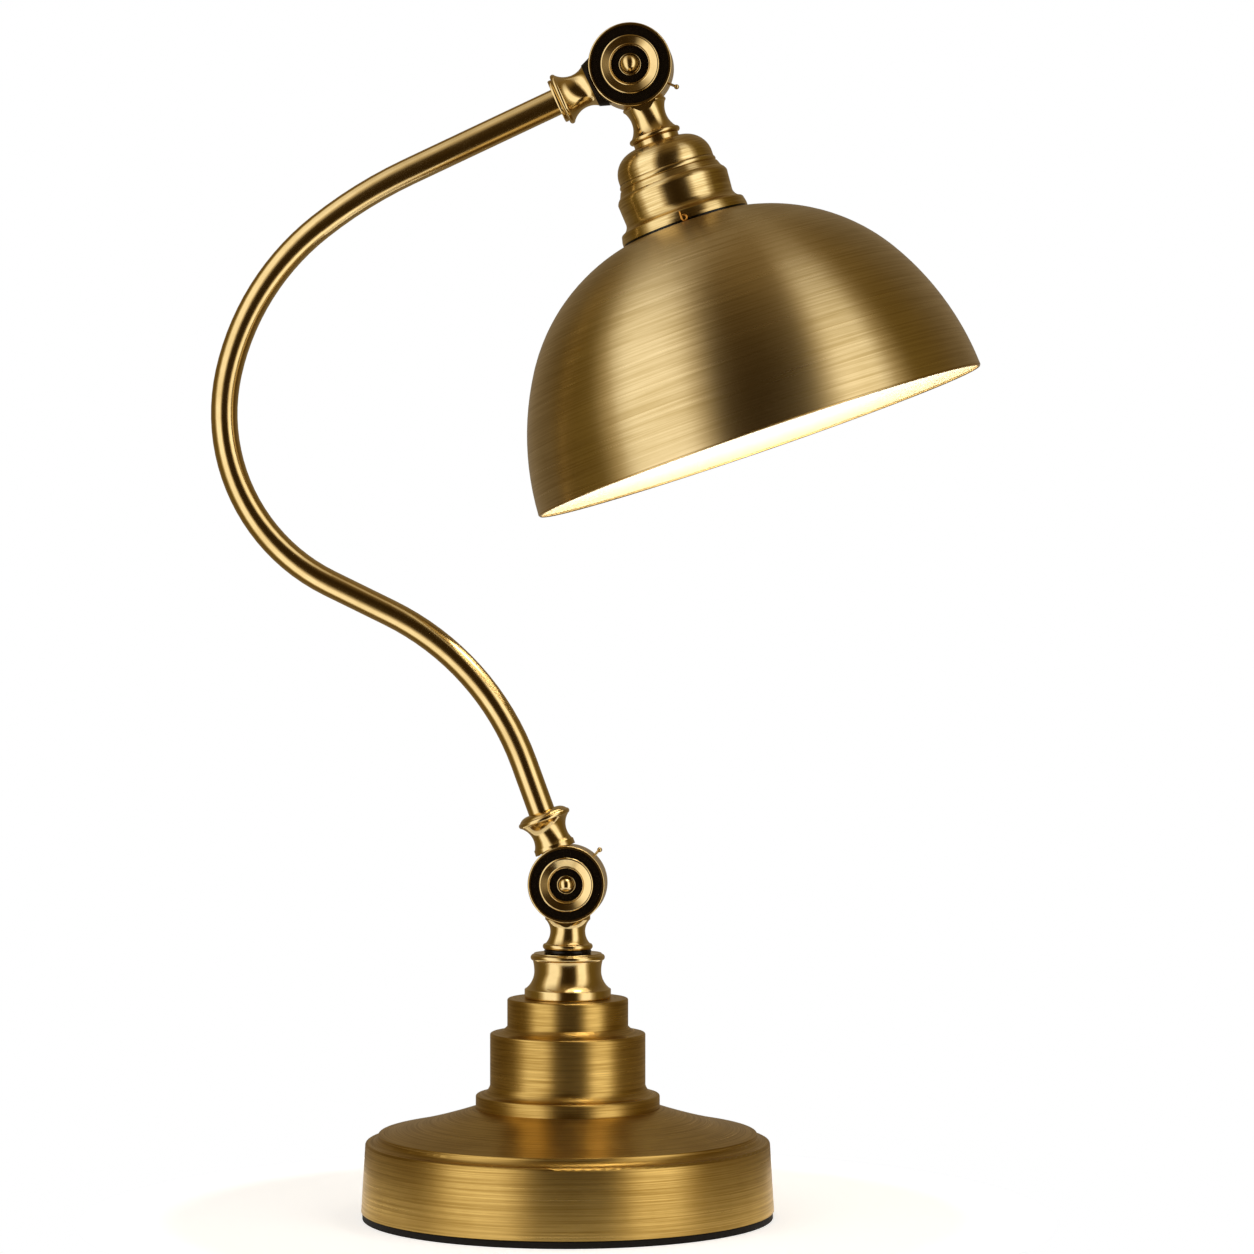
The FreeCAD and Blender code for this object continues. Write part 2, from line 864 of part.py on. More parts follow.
wholeArm = armPath(0, 0)
upperPivot = wholeArm["place"]
armEnd = wholeArm["heading"]


def makeArm():
    path = armPath(tubeStart(lowerKnuckleRadius), tubeStart(upperKnuckleRadius))
    outside = swept(path, tubeRadius)
    keep("arm_tube", outside.cut(swept(path, tubeRadius - tubeWall)))

    lowerHeading = 90 + armLean
    saddle = saddleRing(lowerKnuckleRadius, lowerSaddleRadius, lowerSaddleFlare, lowerSaddleDepth)
    keep("lower_saddle_ring", aimed(saddle, lowerHeading, lowerPivot))
    lower = ferrule(saddleTop(lowerKnuckleRadius), lowerFerruleBase, lowerFerruleWaist,
                    lowerFerruleWaistRise, lowerFerruleLipRise, lowerFerruleLip, 0)
    keep("lower_ferrule", aimed(lower, lowerHeading, lowerPivot))

    upperHeading = armEnd + 180
    saddle = saddleRing(upperKnuckleRadius, upperSaddleRadius, upperSaddleFlare, upperSaddleDepth)
    keep("upper_saddle_ring", aimed(saddle, upperHeading, upperPivot))
    upper = ferrule(saddleTop(upperKnuckleRadius), upperFerruleBase, upperFerruleWaist,
                    upperFerruleWaistRise, upperFerruleLipRise, upperFerruleLip, upperCollarRadius)
    keep("upper_ferrule", aimed(upper, upperHeading, upperPivot))


def makeUpperKnuckle():
    boss = rod(bossRadius, 0, saddleTop(upperKnuckleRadius) + bossLength)
    half = knuckleHalf(upperKnuckleRadius, 1, boss, armEnd + 180)
    half = half.cut(pinHole(upperKnuckleRadius, upperStopAngle))
    half.translate(upperPivot)
    keep("upper_knuckle_arm_half", half)
    pin = stopPin(upperKnuckleRadius, upperStopAngle)
    pin.translate(upperPivot)
    keep("upper_stop_pin", pin)

    headHalf = knuckleHalf(upperKnuckleRadius, -1, headNeck(), headTilt - 90)
    tailBore = rod(nippleBore, headBeadDrop, headBeadDrop + headBeadHeight + tailLength + overcut)
    headHalf = headHalf.cut(aimed(tailBore, headTilt - 90, Vector(0, 0, 0)))
    headHalf.translate(upperPivot)
    keep("upper_knuckle_head_half", headHalf)
    keepKnuckle("upper", upperKnuckleRadius, upperCupRadius, upperCupBore, upperBallRadius, -1, upperPivot)


# head, drawn along +Z from the upper pivot

locknutStart = headBeadDrop + headBeadHeight
capStart = locknutStart + locknutHeight
capEnd = capStart + capBend + capSkirt
ringStart = capEnd + seamGap
shellStart = ringStart + ringHeight
flangeEnd = shellStart + shellHeight
coreStart = shellStart + holderWall
coreEnd = coreStart + coreHeight
shadeSeat = flangeEnd + gasketThickness
contactEnd = coreEnd + contactHeight


def keepHead(name, shape):
    """Keeps a piece of the head, aimed down its axis from the upper pivot."""
    keep(name, aimed(shape, headTilt - 90, upperPivot))


def makeHolder():
    tailBore = nippleRadius + seatFit
    locknut = turned([
        (tailBore, locknutStart),
        (locknutRadius - locknutRound, locknutStart),
        (locknutRadius, locknutStart + locknutRound, arcBow(quarterAngle)),
        (locknutRadius, capStart),
        (tailBore, capStart),
    ])
    keepHead("neck_locknut", locknut)
    capRadius = capCrown + capBend
    cap = spun([
        (capRadius, capEnd),
        (capRadius, capStart + capBend),
        (capCrown, capStart, -arcBow(capArcAngle)),
        (tailBore, capStart),
    ], -holderWall)
    keepHead("holder_cap", cap)

    nutStart = capStart + holderWall
    nut = hexagon(capNutFlats, nutStart, nutStart + capNutHeight)
    nutBore = rod(tailBore, nutStart - overcut, nutStart + capNutHeight + overcut)
    keepHead("cap_nut", nut.cut(nutBore))

    lapRadius = capRadius - holderWall - seatFit
    ring = turned([
        (lapRadius - ringWall, ringStart - ringLap),
        (lapRadius, ringStart - ringLap),
        (lapRadius, ringStart),
        (ringRadius, ringStart),
        (ringRadius, shellStart - seamGap, 2 * ringSwell / (ringHeight - seamGap)),
        (lapRadius, shellStart - seamGap),
        (lapRadius, shellStart),
        (lapRadius - ringWall, shellStart),
    ])
    keepHead("holder_ring", ring)

    shoulderEnd = shellStart + shellShoulder
    waistEnd = shellStart + shellWaist
    flareEnd = waistEnd + shellFlare
    shell = spun([
        (flangeRadius + flangeSpread, flangeEnd),
        (flangeRadius + flangeSpread, flangeEnd - flangeRim),
        (flangeRadius, flareEnd + holderWall),
        (flangeRadius - holderWall, flareEnd, -arcBow(shellFlareAngle)),
        (shellWaistRadius, waistEnd, arcBow(shellWaistAngle)),
        (shellRadius, shoulderEnd),
        (shellTopRadius + holderWall, shellStart + shellShoulder / 2, -arcBow(shellShoulderAngle)),
        (shellTopRadius, shellStart),
        (shellMouth, shellStart),
    ], -holderWall)
    keepHead("holder_shell", shell)


def makeSocket():
    core = turned([
        (nippleBore, coreStart),
        (coreRadius, coreStart),
        (coreRadius, coreEnd),
        (nippleBore, coreEnd),
    ])
    keepHead("socket_core", core)
    keepHead("socket_sleeve", tube(sleeveRadius, sleeveRadius - sleeveWall, coreEnd, coreEnd + sleeveLength))
    screwShell = tube(screwShellRadius, screwShellRadius - screwShellWall, coreEnd, coreEnd + screwShellLength)
    keepHead("screw_shell", screwShell)
    keepHead("centre_contact", rod(contactRadius, coreEnd, contactEnd))


def shadeSection():
    """Outer line of the shade: flat seat, crown arc and side arc in one smooth run to the rim."""
    path = {"edges": [], "heading": shadeSeatAngle, "place": Vector(shadeSeatRadius, 0, shadeSeat)}
    seat = outlineEdge((shadeHole, shadeSeat), (shadeSeatRadius, shadeSeat), 0)
    bend(path, shadeCrownRadius, shadeCrownAngle)
    bend(path, shadeSideRadius, shadeSideAngle)
    return Part.Wire([seat] + path["edges"])


def makeShade():
    section = shadeSection().makeOffset2D(shadeWall, 0, True, True, False)
    keepHead("shade", spin(section))
    keepHead("shade_gasket", tube(gasketRadius, shadeHole, flangeEnd, shadeSeat))
    ringStart = shadeSeat + shadeWall
    ring = turned([
        (sleeveRadius + seatFit, ringStart),
        (shadeRingRadius, ringStart),
        (shadeRingRadius, ringStart + shadeRingHeight - shadeRingRound),
        (shadeRingRadius - shadeRingRound, ringStart + shadeRingHeight, arcBow(quarterAngle)),
        (sleeveRadius + seatFit, ringStart + shadeRingHeight),
    ])
    keepHead("shade_ring", ring)


def makeClip():
    """Bent wire at the front of the flange: a stem down its side that ends in a small open loop."""
    reach = flangeRadius + flangeSpread + clipWire + runningFit
    foot = shadeSeat - runningFit - clipWire - clipLoop
    path = {"edges": [], "heading": 90, "place": Vector(0, -reach, foot - clipStem)}
    straight(path, clipStem)
    bend(path, clipLoop, clipAngle)
    keepHead("shade_clip", swept(path, clipWire))


def makeBulb():
    tipEnd = contactEnd + bulbTipHeight
    capEndHeight = tipEnd + bulbCapLength
    keepHead("bulb_tip", turned([
        (0, contactEnd),
        (bulbTipRadius, contactEnd),
        (bulbTipRadius + bulbTipHeight, tipEnd),
        (0, tipEnd),
    ]))
    capShoulder = bulbCapRadius - bulbTipRadius - bulbTipHeight
    keepHead("bulb_cap", spun([
        (bulbCapRadius, capEndHeight),
        (bulbCapRadius, tipEnd + capShoulder / 2),
        (bulbTipRadius + bulbTipHeight, tipEnd),
        (bulbTipRadius, tipEnd),
    ], -bulbCapWall))

    globeMiddle = contactEnd + bulbLength - bulbRadius
    neckEnd = capEndHeight + bulbNeckLength
    drop = globeMiddle - neckEnd
    bearing = math.degrees(math.atan2(bulbNeckRadius, drop))
    reach = math.hypot(bulbNeckRadius, drop)
    touch = bearing + math.degrees(math.acos(bulbRadius / reach))
    touchRadius = bulbRadius * math.sin(math.radians(touch))
    touchHeight = globeMiddle - bulbRadius * math.cos(math.radians(touch))
    keepHead("bulb_globe", spun([
        (0, globeMiddle + bulbRadius),
        (touchRadius, touchHeight, -arcBow(180 - touch)),
        (bulbNeckRadius, neckEnd),
        (bulbCapRadius, capEndHeight),
    ], -bulbWall))


makeBase()
makeTieRod()
makeColumn()
makeColumnNeck()
makeLowerKnuckle()
makeArm()
makeUpperKnuckle()
makeHolder()
makeSocket()
makeShade()
makeClip()
makeBulb()

os.makedirs("parts", exist_ok=True)
for name, shape in nodes.items():
    shape.exportStep("parts/" + name + ".step")
    corners = shape.BoundBox
    print(name, shape.isValid(), len(shape.Solids), round(shape.Volume, 1),
          round(corners.ZMin, 2), round(corners.ZMax, 2))
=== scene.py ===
import bpy
import math
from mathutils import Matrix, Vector


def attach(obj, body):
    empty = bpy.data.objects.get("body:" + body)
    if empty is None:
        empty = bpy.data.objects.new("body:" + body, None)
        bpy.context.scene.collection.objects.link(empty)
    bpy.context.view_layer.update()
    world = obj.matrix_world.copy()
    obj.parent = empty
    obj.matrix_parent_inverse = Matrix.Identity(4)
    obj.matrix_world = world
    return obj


# Dome shade desk lamp: looks, studio and camera. Metres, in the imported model's own frame.
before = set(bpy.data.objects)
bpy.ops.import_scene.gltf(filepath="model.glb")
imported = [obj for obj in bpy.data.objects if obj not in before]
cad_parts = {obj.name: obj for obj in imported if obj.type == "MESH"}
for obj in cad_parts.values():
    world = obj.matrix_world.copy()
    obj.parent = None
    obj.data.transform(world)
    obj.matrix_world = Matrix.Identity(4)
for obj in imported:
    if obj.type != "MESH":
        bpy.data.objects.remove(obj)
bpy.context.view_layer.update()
bpy.ops.object.select_all(action="DESELECT")

# the head's turned pieces share one axis, from the upper pivot down and to the right
upperPivot = Vector((0.026152667, 0.0, 0.472856172))
headLean = 18.9                             # degrees from straight down
headTurn = math.radians(180 - headLean)     # turns local Z onto that axis
headAxis = Vector((math.sin(headTurn), 0, math.cos(headTurn)))

noiseSpan = (0.3, 0.7)      # most of a noise's values lie between these
wearSpan = (0.35, 0.7)      # below the first there is no wear, above the second it is full
lineSpan = (0.35, 0.65)
bumpDepth = 0.0002
plainIor = 1.5              # enamel, lacquer, rubber, plastic and glaze


def hexColour(code):
    # sRGB hex to the linear values that the shader sockets take
    values = []
    for place in (1, 3, 5):
        level = int(code[place:place + 2], 16) / 255
        values.append(level / 12.92 if level <= 0.04045 else ((level + 0.055) / 1.055) ** 2.4)
    return (*values, 1.0)


def setInputs(tree, node, inputs):
    # a node or a socket is linked, anything else is the input's own value
    for name, value in inputs.items():
        if isinstance(value, bpy.types.Node):
            value = value.outputs[0]
        if isinstance(value, bpy.types.NodeSocket):
            tree.links.new(value, node.inputs[name])
        else:
            node.inputs[name].default_value = value


def addNode(tree, kind, settings=None, inputs=None):
    node = tree.nodes.new("ShaderNode" + kind)
    for name, value in (settings or {}).items():
        setattr(node, name, value)
    setInputs(tree, node, inputs or {})
    return node


def emptyMaterial(name):
    material = bpy.data.materials.new(name)
    material.use_nodes = True
    material.node_tree.nodes.clear()
    return material, material.node_tree


def startMaterial(name):
    material, tree = emptyMaterial(name)
    shader = addNode(tree, "BsdfPrincipled")
    addNode(tree, "OutputMaterial", {}, {"Surface": shader})
    return material, tree, shader


def objectPlace(tree):
    return addNode(tree, "TexCoord").outputs["Object"]


def ramp(tree, value, span, result):
    return addNode(tree, "MapRange", {}, {"Value": value, "From Min": span[0], "From Max": span[1],
                                          "To Min": result[0], "To Max": result[1]})


def blendColours(tree, share, first, second):
    # inputs 0, 6 and 7 and output 2 are the ones a Mix node uses for colours
    return addNode(tree, "Mix", {"data_type": "RGBA"}, {0: share, 6: first, 7: second}).outputs[2]


def turnedPlace(tree, centre, turn):
    # object coordinates with the piece's turning axis laid on Z: radius, height and the direction round it
    local = addNode(tree, "Mapping", {"vector_type": "TEXTURE"},
                    {"Vector": objectPlace(tree), "Location": centre, "Rotation": (0, turn, 0)})
    parts = addNode(tree, "SeparateXYZ", {}, {0: local})
    flat = addNode(tree, "CombineXYZ", {}, {0: parts.outputs[0], 1: parts.outputs[1]})
    radius = addNode(tree, "VectorMath", {"operation": "LENGTH"}, {0: flat}).outputs["Value"]
    way = addNode(tree, "VectorMath", {"operation": "NORMALIZE"}, {0: flat})
    return local, radius, parts.outputs[2], way


def turnedGrain(tree, centre, turn, lineWidth, streak):
    # brushing left by a lathe: noise that changes every lineWidth from line to line and slowly along each
    local, radius, height, way = turnedPlace(tree, centre, turn)
    outward = addNode(tree, "Math", {"operation": "DIVIDE"}, {0: radius, 1: lineWidth})
    upward = addNode(tree, "Math", {"operation": "DIVIDE"}, {0: height, 1: lineWidth})
    slow = addNode(tree, "VectorMath", {"operation": "SCALE"}, {0: way, "Scale": streak})
    parts = addNode(tree, "SeparateXYZ", {}, {0: slow})
    vector = addNode(tree, "CombineXYZ", {}, {0: parts.outputs[0], 1: parts.outputs[1], 2: outward})
    noise = addNode(tree, "TexNoise", {"noise_dimensions": "4D"},
                    {"Vector": vector, "W": upward, "Scale": 1.0, "Detail": 1.5, "Roughness": 0.65})
    return noise, local


baseBrass = {
    "colour": "#C8A761",
    "tarnish": "#977739",
    "edge": "#FFF3DA",      # tint of the metal where it is seen at a glancing angle
    "roughness": (0.27, 0.34),
    "stretch": 0.45,        # the lines run round the piece and draw each highlight out across them
    "lineWidth": 0.0006,    # the real lines are about 0.1 mm apart, drawn coarser so that they show
    "streak": 1.3,          # how often a line changes on its way round
    "bump": 0.2,
    "patchScale": 28.0,     # worn patches about 36 mm across
    "patches": 0.4,         # the most tarnish that a patch brings, and a line
    "lines": 0.7,
}
# the holder's brass is the base's brass painted paler, for brighter, whiter highlights on the head
holderBrass = {**baseBrass, "colour": "#DBC592", "tarnish": "#AD9157", "roughness": (0.18, 0.25),
               "stretch": 0.7}
# the shade's brass is the base's brass painted paler, for brighter, whiter highlights on the shade
shadeBrass = {**baseBrass, "colour": "#D3BE90", "tarnish": "#B59E6C", "edge": "#FFF6E4",
              "roughness": (0.27, 0.33), "stretch": 0.9, "lineWidth": 0.0008, "streak": 1.6, "bump": 0.24}


def makeBrushedBrass(name, centre, turn, settings):
    # brass turned on a lathe and brushed with fine abrasive: satin bands along the axis, hair lines round it
    material, tree, shader = startMaterial(name)
    grain, local = turnedGrain(tree, centre, turn, settings["lineWidth"], settings["streak"])
    patches = addNode(tree, "TexNoise", {}, {"Vector": local, "Scale": settings["patchScale"], "Detail": 3.0})
    worn = ramp(tree, patches.outputs[0], wearSpan, (0.0, settings["patches"]))
    lines = ramp(tree, grain.outputs[0], lineSpan, (0.0, settings["lines"]))
    share = addNode(tree, "Math", {"operation": "ADD"}, {0: worn, 1: lines})
    axis = addNode(tree, "CombineXYZ", {}, {0: math.sin(turn), 1: 0.0, 2: math.cos(turn)})
    setInputs(tree, shader, {
        "Base Color": blendColours(tree, share, hexColour(settings["colour"]), hexColour(settings["tarnish"])),
        "Roughness": ramp(tree, grain.outputs[0], noiseSpan, settings["roughness"]),
        "Normal": addNode(tree, "Bump", {}, {"Height": grain.outputs[0], "Strength": settings["bump"],
                                             "Distance": bumpDepth}),
        "Tangent": addNode(tree, "VectorTransform", {"vector_type": "VECTOR", "convert_from": "OBJECT",
                                                     "convert_to": "WORLD"}, {0: axis}),
        "Metallic": 1.0,
        "Anisotropic": settings["stretch"],
        "Specular Tint": hexColour(settings["edge"]),
    })
    return material


polishedBrass = {
    "colour": "#D8BF8A",
    "shadow": "#B89C62",
    "edge": "#FFF3DA",
    "roughness": (0.11, 0.18),
    "wipeScale": 60.0,      # wipe marks about 17 mm across
    "wipes": 0.5,
}


def makePolishedBrass(name, settings):
    # brass drawn or turned and then buffed: sharp reflections, faint wipe marks
    material, tree, shader = startMaterial(name)
    wipes = addNode(tree, "TexNoise", {}, {"Vector": objectPlace(tree), "Scale": settings["wipeScale"],
                                           "Detail": 4.0, "Roughness": 0.65})
    share = ramp(tree, wipes.outputs[0], wearSpan, (0.0, settings["wipes"]))
    setInputs(tree, shader, {
        "Base Color": blendColours(tree, share.outputs[0], hexColour(settings["colour"]),
                                   hexColour(settings["shadow"])),
        "Roughness": ramp(tree, wipes.outputs[0], noiseSpan, settings["roughness"]),
        "Metallic": 1.0,
        "Specular Tint": hexColour(settings["edge"]),
    })
    return material


def mottledColour(tree, colours, size, detail):
    # noise with spots of the given size, and the two colours blended by it
    noise = addNode(tree, "TexNoise", {}, {"Vector": objectPlace(tree), "Scale": 1 / size, "Detail": detail})
    return noise, blendColours(tree, noise.outputs[0], hexColour(colours[0]), hexColour(colours[1]))


def makePlainMetal(name, colours, roughness, size=0.0025, change=0.06):
    # wire, sheet or cast metal, mostly out of sight: faint mottling
    material, tree, shader = startMaterial(name)
    noise, colour = mottledColour(tree, colours, size, 3.0)
    rough = ramp(tree, noise.outputs[0], noiseSpan, (roughness - change, roughness + change))
    setInputs(tree, shader, {"Base Color": colour, "Roughness": rough, "Metallic": 1.0})
    return material


def makeCoated(name, colours, roughness, size, bump=0.0, coat=0.0, gloss=0.5, change=0.15):
    # lacquer, rubber or moulded plastic: one colour with fine mottling of the given size
    material, tree, shader = startMaterial(name)
    noise, colour = mottledColour(tree, colours, size, 3.0)
    rough = ramp(tree, noise.outputs[0], noiseSpan, (roughness * (1 - change), roughness * (1 + change)))
    setInputs(tree, shader, {"Base Color": colour, "Roughness": rough, "Coat Weight": coat,
                             "Specular IOR Level": gloss, "IOR": plainIor})
    if bump:
        lift = addNode(tree, "Bump", {}, {"Height": noise.outputs[0], "Strength": bump,
                                          "Distance": bumpDepth})
        setInputs(tree, shader, {"Normal": lift})
    return material


shadeEnamel = {
    "white": "#FBFAF6",
    "paintedGlow": "#F6E3B4",      # painted glow: a warm tint standing in for the bulb's light on the enamel towards the rim
    "paintedGlowFrom": 0.157,      # where the painted glow begins, in metres along the head's axis from the upper pivot
    "bareFrom": 0.1621,     # the rim's last millimetre is bare brass
    "middle": 0.150,        # the point on the axis from which inside and outside are told apart
    "roughness": 0.35,
}


def makeShadeMaterial(settings):
    # one spun sheet: brushed brass outside, white stove enamel inside, where the surface faces the axis, with a
    # painted warm glow on the enamel near the rim
    material = makeBrushedBrass("shadeBrassAndEnamel", upperPivot, headTurn, shadeBrass)
    tree = material.node_tree
    brass = next(node for node in tree.nodes if node.type == "BSDF_PRINCIPLED")
    output = next(node for node in tree.nodes if node.type == "OUTPUT_MATERIAL")
    middle = upperPivot + headAxis * settings["middle"]
    outward = addNode(tree, "VectorMath", {"operation": "SUBTRACT"}, {0: objectPlace(tree), 1: middle})
    normal = addNode(tree, "NewGeometry").outputs["Normal"]
    facing = addNode(tree, "VectorMath", {"operation": "DOT_PRODUCT"}, {0: outward, 1: normal})
    inside = addNode(tree, "Math", {"operation": "LESS_THAN"}, {0: facing.outputs["Value"], 1: 0.0})
    height = turnedPlace(tree, upperPivot, headTurn)[2]
    covered = addNode(tree, "Math", {"operation": "LESS_THAN"}, {0: height, 1: settings["bareFrom"]})
    share = addNode(tree, "Math", {"operation": "MULTIPLY"}, {0: inside, 1: covered})
    # painted glow: the enamel's white blends into a warm cream over the last millimetres before the bare rim
    paintedGlow = ramp(tree, height, (settings["paintedGlowFrom"], settings["bareFrom"]), (0.0, 1.0))
    colour = blendColours(tree, paintedGlow.outputs[0], hexColour(settings["white"]), hexColour(settings["paintedGlow"]))
    enamel = addNode(tree, "BsdfPrincipled", {}, {"Base Color": colour, "Roughness": settings["roughness"],
                                                  "IOR": plainIor})
    both = addNode(tree, "MixShader", {}, {0: share, 1: brass, 2: enamel})
    setInputs(tree, output, {"Surface": both})
    return material


opalBulb = {"colours": ("#FFF6E4", "#FFFAF0"), "mottle": 0.005, "roughness": 0.3, "glow": "#FFF4E0",
            "strength": 7.0}


def makeOpalGlass(settings):
    # opal glass bulb, lit: even warm white glow
    material, tree, shader = startMaterial("opalGlassLit")
    noise, colour = mottledColour(tree, settings["colours"], settings["mottle"], 2.0)
    setInputs(tree, shader, {"Base Color": colour, "Roughness": settings["roughness"],
                             "Emission Color": hexColour(settings["glow"]),
                             "Emission Strength": settings["strength"]})
    return material


brassUpright = makeBrushedBrass("brushedBrassUpright", (0, 0, 0), 0, baseBrass)
brassHead = makeBrushedBrass("brushedBrassHead", upperPivot, headTurn, holderBrass)
brassPolished = makePolishedBrass("polishedBrass", polishedBrass)
shadeFinish = makeShadeMaterial(shadeEnamel)
opalGlass = makeOpalGlass(opalBulb)

# two colours and the roughness, then for the coated ones the size of the mottling
bronzeWire = makePlainMetal("bronzeWire", ("#DB9A45", "#EBB05C"), 0.3)
castIron = makePlainMetal("castIron", ("#3C3A38", "#4A4846"), 0.6)
zincSteel = makePlainMetal("zincPlatedSteel", ("#A9ABAE", "#B8BABD"), 0.35)
contactBrass = makePlainMetal("contactBrass", ("#B8975A", "#C6A66A"), 0.3)
nickel = makePlainMetal("nickelPlate", ("#B4B0A8", "#C2BEB6"), 0.25)
blackLacquer = makeCoated("blackLacquer", ("#0D0804", "#181006"), 0.25, 0.0008, gloss=0.2)
saddleBlack = makeCoated("blackenedBrass", ("#0F0A04", "#1C1408"), 0.45, 0.0008, gloss=0.08)
padRubber = makeCoated("padRubber", ("#120F0C", "#1B1713"), 0.75, 0.0006, bump=0.2, gloss=0.2)
grommetRubber = makeCoated("grommetRubber", ("#1B1A19", "#242321"), 0.6, 0.0006, bump=0.1)
frictionPlastic = makeCoated("acetalPlastic", ("#C9C4B6", "#D3CFC2"), 0.45, 0.001)
porcelain = makeCoated("glazedPorcelain", ("#E9E6DC", "#F1EEE6"), 0.2, 0.002, coat=0.5)
blackMoulding = makeCoated("blackPhenolicMoulding", ("#171513", "#211E1B"), 0.35, 0.001)
print("materials made")

finishes = {
    brassUpright: ["base_cover", "stepped_column"],
    brassHead: ["holder_cap", "holder_shell", "holder_ring"],
    shadeFinish: ["shade"],
    brassPolished: [
        "column_neck", "lower_knuckle_stem", "lower_knuckle_arm_half", "lower_cup_ring", "lower_pivot_screw",
        "lower_pivot_nut", "lower_stop_pin", "lower_saddle_ring", "lower_ferrule", "arm_tube",
        "upper_ferrule", "upper_knuckle_arm_half", "upper_knuckle_head_half", "upper_cup_ring",
        "upper_pivot_screw", "upper_pivot_nut", "upper_stop_pin", "neck_locknut"],
    bronzeWire: ["shade_clip"],
    blackLacquer: ["neck_washer", "lower_face_washer", "upper_face_washer", "shade_gasket"],
    saddleBlack: ["upper_saddle_ring"],
    padRubber: ["base_pad"],
    grommetRubber: ["cord_grommet"],
    castIron: ["base_weight"],
    zincSteel: ["stem_nipple", "base_washer", "base_nut", "lower_spring_washer", "upper_spring_washer",
                "cap_nut"],
    frictionPlastic: ["lower_friction_washer", "upper_friction_washer"],
    porcelain: ["socket_core"],
    blackMoulding: ["socket_sleeve", "shade_ring"],
    contactBrass: ["screw_shell", "centre_contact", "bulb_tip"],
    nickel: ["bulb_cap"],
    opalGlass: ["bulb_globe"],
}
for finish, names in finishes.items():
    for name in names:
        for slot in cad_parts[name].material_slots:
            slot.material = finish
print("finishes on", sum(len(names) for names in finishes.values()), "of", len(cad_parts), "nodes")

# rolled edge of the shade: a fine wire bead at the rim, a little flattened along the head's axis
rimBead = {
    "radius": 0.09485,
    "wire": 0.00046,        # radius of the bead itself
    "level": 0.16268,       # along the head's axis from the upper pivot
    "flatten": 0.85,
    "stepsRound": 192,
    "stepsAcross": 12,
}
bpy.ops.object.select_all(action="DESELECT")
bpy.ops.mesh.primitive_torus_add(major_segments=rimBead["stepsRound"], minor_segments=rimBead["stepsAcross"],
                                 major_radius=rimBead["radius"], minor_radius=rimBead["wire"])
bead = bpy.context.object
bead.name = "shade_rolled_rim"
bpy.ops.object.mode_set(mode="EDIT")
bpy.ops.mesh.select_all(action="SELECT")
bpy.ops.transform.resize(value=(1, 1, rimBead["flatten"]))
bpy.ops.mesh.normals_make_consistent(inside=False)
bpy.ops.object.mode_set(mode="OBJECT")
bead.rotation_euler = (0, headTurn, 0)
bead.location = upperPivot + headAxis * rimBead["level"]
bpy.ops.object.transform_apply(location=True, rotation=True, scale=True)
bpy.ops.object.shade_smooth()
bead.data.materials.append(brassPolished)
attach(bead, "head")
print("rolled rim made")

# camera, at the photograph's place
view = {
    "yaw": 3.75,            # how far it stands round to the lamp's right, in degrees
    "pitch": -0.485,
    "lens": 117.2,
    "sensor": 36.0,
    "distance": 1.680,
    "aside": 0.0244,
    "height": 0.257,
    "reach": 50,            # past the far side of the room
}
yaw = math.radians(view["yaw"])
right = Vector((math.cos(yaw), math.sin(yaw), 0))
forward = Vector((-math.sin(yaw), math.cos(yaw), 0))
cameraData = bpy.data.cameras.new("photoCamera")
cameraData.lens = view["lens"]
cameraData.sensor_width = view["sensor"]
cameraData.clip_end = view["reach"]
camera = bpy.data.objects.new("photoCamera", cameraData)
bpy.context.scene.collection.objects.link(camera)
camera.location = right * view["aside"] - forward * view["distance"] + Vector((0, 0, view["height"]))
camera.rotation_euler = (math.radians(90 + view["pitch"]), 0, yaw)
bpy.context.scene.camera = camera
bpy.context.scene.view_settings.view_transform = "Standard"
print("camera set")

# round white table
whiteTable = {
    "radius": 0.20,
    "sides": 128,
    "paper": "#D8D8D8",
    "glow": 0.66,           # its own light, which rises to full white between these shares of the radius
    "whiteFrom": 0.8,
    "whiteTo": 0.98,
}


def makeTablePaper(settings):
    # matt white paper: near white to the camera and in reflections, and it still takes the lamp's shadow
    material, tree = emptyMaterial("tablePaper")
    path = addNode(tree, "LightPath").outputs
    seen = addNode(tree, "Math", {"operation": "MAXIMUM"}, {0: path["Is Camera Ray"], 1: path["Is Glossy Ray"]})
    seen = addNode(tree, "Math", {"operation": "MAXIMUM"}, {0: seen, 1: path["Is Transmission Ray"]})
    out = addNode(tree, "VectorMath", {"operation": "LENGTH"}, {0: objectPlace(tree)}).outputs["Value"]
    edge = (settings["radius"] * settings["whiteFrom"], settings["radius"] * settings["whiteTo"])
    level = addNode(tree, "Math", {"operation": "MULTIPLY"},
                    {0: seen, 1: ramp(tree, out, edge, (settings["glow"], 1.0))})
    paper = addNode(tree, "BsdfDiffuse", {}, {"Color": hexColour(settings["paper"])})
    light = addNode(tree, "Emission", {}, {"Color": (1, 1, 1, 1), "Strength": level})
    both = addNode(tree, "AddShader", {}, {0: paper, 1: light})
    addNode(tree, "OutputMaterial", {}, {"Surface": both})
    return material


bpy.ops.mesh.primitive_circle_add(vertices=whiteTable["sides"], radius=whiteTable["radius"], fill_type="NGON")
table = bpy.context.object
table.name = "studioTable"
table.data.materials.append(makeTablePaper(whiteTable))

